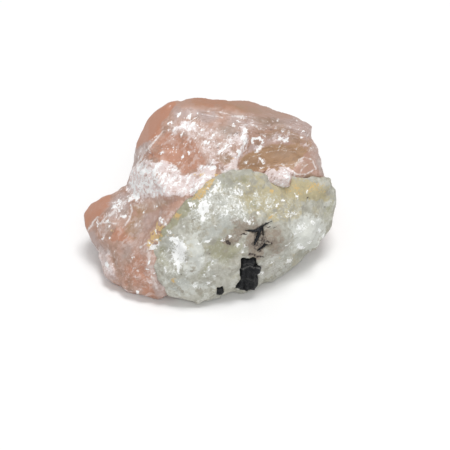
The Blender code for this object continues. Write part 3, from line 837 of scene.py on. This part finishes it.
# the pale lump
matrix = {
    "voxel": 0.25,           # mm, fineness of the skin
    "grow": 0.3,             # mm, closes the seam against the morganite
    "facets": [(1.6, 0.15), (0.8, 0.1)],    # mm, size and height of the broken facets
    "grain": (0.9, 0.06),    # mm, size and height
    "roughness": 0.7,
    "fineRoughness": 0.1,    # how much the fine grain changes it
    "gloss": 0.35,
    "bump": 0.0003,          # m, height of the finest breaks
    "angle": 45,             # degrees, the way its grain runs in the front view
    "masks": {"mealy": 3, "olive": 2.6, "yellow": 3, "pale": 2, "grey": 2.6, "smoke": 2.4, "ochre": 1.6,
              "white": 2.4, "dark": 1.5},
    "mealy": [               # where white grains are thickest
        (zone, 0.9, [(206, 186), (216, 182), (232, 188), (244, 198), (252, 210), (244, 220), (230, 222),
            (218, 220), (204, 226), (192, 230), (186, 222), (194, 205)], 8),
        (zone, 0.58, [(236, 186), (262, 190), (292, 198), (306, 205), (300, 218), (270, 220),
            (250, 205)], 8),
        (patch, 0.35, 306, 234, 18, 20, 0, 0.6), (patch, 0.85, 178, 254, 14, 20, 0, 0.6),
        (patch, 0.5, 200, 268, 30, 22, 0, 0.6), (patch, 0.6, 170, 262, 14, 20, 0, 0.6),
        (patch, 0.5, 198, 240, 16, 10, -30, 0.6), (patch, 0.5, 276, 262, 16, 10, -20, 0.6),
    ],
    "olive": [
        (vein, 0.95, [(196, 200), (184, 209), (174, 218), (167, 226), (162, 233)], 8, 4),
        (vein, 0.7, [(199, 276), (203, 270), (206, 265), (211, 263)], 2.5, 3),
        (patch, 0.95, 223, 250, 17, 12, -10, 0.6), (patch, 0.5, 238, 179, 22, 5, 4, 0.6),
        (patch, 0.6, 162, 256, 8, 13, 0, 0.6), (patch, 0.5, 252, 204, 5, 4), (patch, 0.5, 291, 209, 5, 3),
        (patch, 0.6, 226, 186, 4, 3, 30), (patch, 0.4, 186, 226, 6, 8, 40),
        (patch, 0.5, 326, 212, 5, 12, 15),
    ],
    "yellow": [
        (patch, 1, 300, 191, 32, 10, 6, 0.5), (patch, 0.9, 266, 200, 34, 15, 8, 0.7),
        (patch, 0.75, 284, 213, 20, 9, -10, 0.7), (patch, 0.6, 250, 181, 20, 7, 0, 0.7),
        (patch, 0.5, 214, 190, 10, 12), (patch, 0.5, 186, 252, 8, 14, 15),
    ],
    "pale": [
        (zone, 0.85, [(186, 240), (196, 238), (205, 246), (204, 262), (199, 270), (191, 275), (184, 270),
            (181, 262), (186, 252)]),
        (zone, 0.8, [(204, 263), (207, 257), (214, 255.5), (220, 257), (217, 264), (210, 266)]),
        # the second patch, along the bottom, is painted light: it lightens lower faces that get less light
        (patch, 1, 308, 232, 17, 19, -20, 0.45), (patch, 0.6, 190, 286, 24, 9, 0, 0.7),
        (patch, 0.6, 198, 228, 14, 12, -30, 0.7), (patch, 0.6, 275, 257, 9, 3, -6, 0.7),
        # the second patch, at the lower right, is painted light too, lightening faces that get less light
        (patch, 0.5, 326, 204, 7, 14, 10, 0.7), (patch, 0.6, 274, 270, 18, 7, -28, 0.7),
    ],
    "grey": [                # cool, glassy places
        (patch, 0.7, 215, 232, 16, 10, -20, 0.7), (patch, 0.7, 228, 222, 14, 12, 0, 0.7),
        (patch, 0.6, 172, 240, 5, 10, 20, 0.7), (patch, 0.6, 182, 282, 12, 6, 0, 0.7),
        (patch, 0.3, 296, 254, 10, 5, -20, 0.7), (patch, 0.5, 203, 226, 5, 4, 0, 0.7),
    ],
    "smoke": [
        (vein, 0.75, [(228, 241), (236, 234), (246, 226), (252, 222)], 8, 4),
        (patch, 0.75, 271, 240, 14, 16, 0, 0.6), (patch, 0.85, 258, 240, 12, 17, 10, 0.5),
        (patch, 0.6, 236, 222, 8, 5, 30, 0.6), (patch, 0.8, 256, 252, 10, 6, 0, 0.6),
        (patch, 0.4, 272, 268, 15, 9, -20, 0.6), (patch, 0.4, 158, 264, 5, 5),
    ],
    "ochre": [
        (zone, 0.68, [(192, 201), (201, 188), (209, 178), (218, 175), (210, 189), (201, 201)]),
        (patch, 0.42, 315, 188, 9, 6, 0, 0.7), (patch, 0.3, 293, 190, 12, 5, 8),
        (patch, 0.8, 270.5, 191.8, 2.4, 2, 0, 0.6), (patch, 0.8, 269.4, 217.4, 2.6, 1.6, -40, 0.6),
        (patch, 0.9, 178, 216, 4, 2.4, -30, 0.6), (patch, 0.8, 158.5, 235.5, 4.4, 6, 15, 0.6),
        (patch, 0.8, 153, 245, 3.4, 4, 0, 0.6), (patch, 0.8, 174, 280, 1.8, 2.4, 0, 0.6),
        (patch, 0.5, 279, 256, 2, 2, 0, 0.6), (patch, 0.6, 173, 237, 4, 2, 20, 0.6),
    ],
    "white": [
        (zone, 1, [(199, 202), (207, 200), (208.5, 210), (206, 216), (204, 222), (202, 220), (200, 214),
            (197, 210)], 1),
        (zone, 1, [(172, 235.5), (178, 237), (180.5, 243), (186, 245.5), (186.5, 252), (183, 258),
            (180.8, 263), (180.4, 271), (177, 271.5), (177.2, 265), (174, 259), (173.6, 252), (176.5, 248),
            (175, 243), (170.5, 240)], 0.8),
        (zone, 0.95, [(150, 244), (154, 242), (157, 240.5), (160, 239), (161, 241), (157, 245), (154, 250),
            (151, 250)], 0.8),
        (vein, 0.6, [(206, 198), (213, 190), (218, 182)], 2, 2),
        (patch, 0.6, 236, 192.5, 6.5, 4, 30), (patch, 0.65, 300, 226, 5.5, 4.2, -20, 0.6),
        (patch, 0.8, 180, 252, 8, 13, 0, 0.6), (patch, 0.6, 289, 214, 9, 3, -12, 0.7),
        (patch, 0.55, 247.5, 221, 5, 3.6, 0, 0.7),
        (specks, 1, [
            (191, 205.5, 4, 1.3, 90), (195.5, 205.3, 1.3, 1), (170.3, 232.8, 2.2, 1.8, 60),
            (165, 220.5, 2.4, 1.8, 50), (187.5, 271.5, 1.5, 1.2, 30), (166, 271, 1.4, 1.1),
            (163.5, 267.5, 2, 1, -50), (153.6, 273.5, 2, 1.2, 30), (207, 268.5, 2.2, 1.6),
            (205.5, 274.3, 1.4, 0.9), (215, 275.5, 1.3, 1), (208.5, 281.5, 2.2, 1),
            (222.5, 239.2, 2.2, 1, -35), (230, 236.5, 2, 0.9, -30), (236.5, 244.8, 2, 1.6),
            (243, 252, 1.6, 1, 60), (240, 184, 2.2, 1.4), (248, 185, 2, 1.2), (220.5, 193, 1.4, 1.2),
            (222.3, 200.5, 1.4, 1.2), (215.5, 227, 1, 0.9), (268, 205, 1.8, 1, 20),
            (258, 213.5, 2.4, 0.9, 60), (252, 201.5, 1.8, 1, 90), (295, 196.5, 2.6, 1, 80),
            (305.5, 191.5, 1.6, 1), (317, 217, 1.5, 1.3), (318.8, 230, 1.3, 1.2), (322.5, 235, 1.3, 1.2),
            (309, 240.5, 2.4, 1.5, -50), (300.5, 245.5, 3.2, 2.2), (292.5, 233.5, 1.3, 0.9),
            (287, 243, 1.8, 1, -30), (288, 259.5, 2.5, 1.9, -30), (271.5, 262.5, 1.1, 1),
            (260.5, 273, 2, 1), (199, 243, 2.2, 0.8, -30), (207, 240, 3, 0.7, -20), (213, 262, 2, 1.2, -60),
            (186, 262, 1, 0.9), (186, 234, 2, 1, -40), (182, 226, 1.6, 0.8, -60), (210, 203, 1.6, 1),
            (228, 204, 1.6, 0.9, 30), (236, 208, 1.4, 0.9), (243, 206, 1.6, 1, -40), (277, 205, 1.4, 0.9),
            (283, 201, 1.4, 0.9), (216, 214, 1.2, 0.8), (225, 212, 1.2, 0.8), (195, 285, 2.6, 1.6),
            (200, 288, 1.6, 1.2), (313, 224, 2.2, 1.4), (246, 245, 1.4, 1)]),
    ],
    "dark": [
        (zone, 0.52, [(257, 227), (266, 229), (268, 238), (264, 249), (256, 252), (251, 246),
            (254, 236)], 2.5),
        (vein, 0.8, [(264.5, 240), (269, 241.5), (272.6, 243)], 1, 0.8),
        (vein, 0.8, [(249, 253.3), (256, 254), (263.3, 255.3)], 1),
        (patch, 0.9, 228, 242.3, 3.4, 2, 24, 0.5), (patch, 0.5, 209, 253, 2.2, 1.3, 0, 0.6),
        (specks, 0.9, [
            (182.3, 273.8, 0.9, 0.8), (176.8, 244.9, 1.2, 0.7, 40), (307.3, 198.3, 1, 0.7),
            (257, 229, 1.6, 0.6, -30), (262, 233, 1.4, 0.7, -60), (265, 237, 1.6, 0.6, 10),
            (260, 240, 1.2, 0.8, -70), (264, 243, 1.6, 0.6, -30), (255, 236, 1.2, 0.7, -70),
            (252, 243, 1.4, 0.7, -60), (268, 226.4, 3, 0.5, -4), (250, 232, 2.4, 0.5, -20),
            (244, 235, 3, 0.6), (274, 228, 3, 0.4, 10), (259, 250, 2, 0.6), (264, 248, 1.4, 0.6, 20),
            (255, 251, 1.6, 0.6)]),
    ],
    "colours": {
        "base": seen(204, 202, 191),
        "deep": seen(182, 181, 168),
        "olive": seen(170, 167, 141),
        "yellow": seen(196, 184, 145),
        "grey": seen(186, 188, 181),
        "ochre": seen(220, 189, 131),
        "pale": seen(224, 226, 219),
        "white": (0.97, 0.98, 0.97),
        "smoke": seen(160, 146, 131),
        "dark": seen(74, 64, 60),
    },
}


def buildMatrix():
    piece, points, normals = startSkin("matrix", "matrixSkin", matrix["voxel"])
    masks, facing = drawMasks(points, normals, matrix, 2)
    front = smoothStep(0, 0.2, facing)
    writeMasks(piece, {maskName: values * front for maskName, values in masks.items()})
    relief = matrix["grow"]
    for seed, (size, height) in enumerate(matrix["facets"], 3):
        relief = relief + height * flakesAt(points, size, seed)
    size, height = matrix["grain"]
    relief = relief + height * noiseAt(points, size, 4, 9)
    pushOut(piece, points, normals, relief)
    finishPiece(piece, "matrix", matrixMaterial())


def matrixMaterial():
    material, wire = newMaterial("paleLump")
    colours = matrix["colours"]
    masks = {name: attribute(wire, name) for name in matrix["masks"]}
    place = objectPlace(wire)
    swirled = place.vector("ADD", swirl(place, 1.5, 1.2))
    crumpled = place.vector("ADD", swirl(place, 0.9, 0.6))
    slow = uneven(place, 4, 2)
    other = uneven(place.vector("ADD", (7, 3, 5)), 2.6, 3)
    patchy = uneven(place, 1.4, 5, 0.75)
    mid = uneven(drawn(swirled, matrix["angle"], 0.5), 0.5, 4, 0.75)
    fine = uneven(place, 0.22, 2, 0.7)
    fleck = lots(cells(crumpled, 0.35))
    chips = 0.7 * lots(cells(crumpled, 1.4)) + 0.6 * lots(cells(crumpled, 0.65))
    # the body of the lump and its stains
    soft = 0.45 * patchy + 0.2 * mid + 0.35 * chips
    stain = (0 - mid - 0.4 * patchy).step(-0.2, 0.9) * masks["smoke"]
    base = (slow * 0.4 + patchy * 0.5 - chips * 0.4 + 0.5).step(0, 1)
    tone = paint(blend(base, colours["base"], colours["deep"]), colours,
                 (other.step(0.1, 1.1) * 0.5, "yellow"),
                 ((0 - other).step(0.1, 1.1) * 0.4, "grey"),
                 ((chips + 0.3 * mid).step(0.1, 1.2) * 0.5, "pale"),
                 *((spread(masks[name], soft) * 0.9, name)
                   for name in ("pale", "grey", "yellow", "olive", "smoke")),
                 ((0 - chips - mid).step(0.3, 1.4) * 0.35, "smoke"),
                 (stain * 0.5, "dark"))
    # its pale grains and small marks
    mealy = masks["mealy"] * 1.2 - 0.8 + 0.5 * mid + 0.3 * fleck + 0.35 * fine + 0.3 * patchy + 0.3 * chips
    bright = spread(masks["white"], 0.4 * fleck + 0.6 * mid + 0.35 * fine)
    tone = paint(tone, colours,
                 (mealy.step(-0.5, 0.5) * 0.6, "pale"),
                 (spread(masks["ochre"], 0.7 * mid + 0.4 * fleck), "ochre"),
                 (bright.most(mealy.step(0.2, 0.85) * 0.9), "white"),
                 (spread(masks["dark"], 0.5 * mid + 0.2 * fleck), "dark"),
                 (dots(place, 1.2, 0.13, 0.4) * 0.5, "smoke"))
    height = chipped(place, 0.5) * 0.8 + 0.15 * fine
    roughness = matrix["roughness"] + matrix["fineRoughness"] * fine
    finishMaterial(wire, {"Base Color": tone, "Roughness": roughness, "Specular IOR Level": matrix["gloss"],
                          "Normal": bumped(wire, height, matrix["bump"])})
    return material


buildMatrix()


# black tourmaline
tourmaline = {
    # each finish and its share of sheen
    "finishes": {"blackTourmaline": 0.6, "thinTourmaline": 1},
    # each crystal: its piece, its finish, and in mm its fineness, growth and height of relief
    "crystals": {
        "tourmaline_large": ("tourmalineLarge", "blackTourmaline", 0.1, 0.1, 0.12),
        "tourmaline_small": ("tourmalineSmall", "blackTourmaline", 0.07, 0.1, 0.08),
        "tourmaline_needles": ("tourmalineNeedles", "thinTourmaline", 0.06, -0.07, 0.12),
    },
    "roughness": 0.5,
    "gloss": 0.3,
    "bump": 0.0002,          # m, height of the fine lines
    "grooves": (0.35, 0.25), # mm, their size, and how far they are drawn out upwards
    "grain": 0.8,            # mm, size
    "angles": {"lines": 84, "ledges": -4},    # degrees in the front view
    "masks": {"crack": 1},
    "crack": [               # pale breaks across the block
        (vein, 0.85, [(238, 268), (243, 269.5), (246, 268), (250, 266), (253, 268), (256, 267),
            (261, 269)], 0.6, 0.8),
        (vein, 0.4, [(243, 264), (248, 263), (252, 264.5)], 0.4, 0.8),
        (vein, 0.2, [(240, 280), (247, 279), (255, 281)], 0.4, 0.8),
        (specks, 1, [
            (254.5, 262, 1.2, 0.7, 60), (257, 265, 1.2, 0.7, 40)]),
    ],
    "colours": {"black": seen(18, 20, 23), "sheen": seen(60, 61, 64), "crack": seen(124, 124, 120)},
}


def tourmalineMaterial(name, share):
    material, wire = newMaterial(name)
    colours = tourmaline["colours"]
    place = objectPlace(wire)
    lines = uneven(drawn(place, tourmaline["angles"]["lines"], 0.15), 0.2, 3, 0.6)
    ledges = uneven(drawn(place, tourmaline["angles"]["ledges"], 0.15), 0.45, 3, 0.6)
    shine = (lines + share - 0.6).step(0.1, 0.8) * share
    tone = paint(blend(shine, colours["black"], colours["sheen"]), colours,
                 (ledges.step(0.5, 0.9) * 0.7, "sheen"),
                 (attribute(wire, "crack") * (0.7 + 0.6 * lines), "crack"))
    finishMaterial(wire, {"Base Color": tone, "Roughness": tourmaline["roughness"],
                          "Normal": bumped(wire, lines, tourmaline["bump"]),
                          "Specular IOR Level": tourmaline["gloss"]})
    return material


def buildTourmaline(nodeName, pieceName, material, voxel, grow, depth):
    piece, points, normals = startSkin(nodeName, pieceName, voxel)
    masks, facing = drawMasks(points, normals, tourmaline, 3)
    writeMasks(piece, {"crack": masks["crack"] * smoothStep(0, 0.2, facing)})
    size, squeeze = tourmaline["grooves"]
    relief = grow + depth * noiseAt(points * np.array((1, 1, squeeze)), size, 3, 11)
    relief = relief + depth * noiseAt(points, tourmaline["grain"], 3, 12)
    pushOut(piece, points, normals, relief)
    finishPiece(piece, nodeName, material)


finishes = {name: tourmalineMaterial(name, share) for name, share in tourmaline["finishes"].items()}
for nodeName, (pieceName, finishName, voxel, grow, depth) in tourmaline["crystals"].items():
    buildTourmaline(nodeName, pieceName, finishes[finishName], voxel, grow, depth)


# floor and light
studio = {
    "floor": 0.92,           # how pale it is
    "floorSize": 6,          # m
    "floorRoughness": 0.9,
    "floorGloss": 0.1,
    "world": 0.5,            # strength of the light from all round
    # each light: where it stands and its size, in metres, and its power in watts
    "lights": {
        "top": ((0.15, 0, 1.4), 0.5, 10.7),
        "front": ((0.05, -0.9, 1), 0.5, 2.7),
    },
}


def addStage():
    bpy.ops.mesh.primitive_plane_add(size=studio["floorSize"], location=(0, 0, 0))
    floor = bpy.context.object
    floor.name = "floor"
    material, wire = newMaterial("paleFloor")
    finishMaterial(wire, {"Base Color": (studio["floor"],) * 3 + (1,),
                          "Roughness": studio["floorRoughness"],
                          "Specular IOR Level": studio["floorGloss"]})
    floor.data.materials.append(material)
    world = bpy.data.worlds.new("studio")
    bpy.context.scene.world = world
    world.use_nodes = True
    background = world.node_tree.nodes["Background"]
    background.inputs["Color"].default_value = (1, 1, 1, 1)
    background.inputs["Strength"].default_value = studio["world"]
    for lightName, (place, size, power) in studio["lights"].items():
        bpy.ops.object.light_add(type="AREA", location=place)
        light = bpy.context.object
        light.name = lightName
        light.data.energy = power
        light.data.size = size
        light.rotation_euler = (-Vector(place)).to_track_quat("-Z", "Y").to_euler()
    bpy.context.scene.view_settings.view_transform = "Standard"


addStage()
print("stage set")
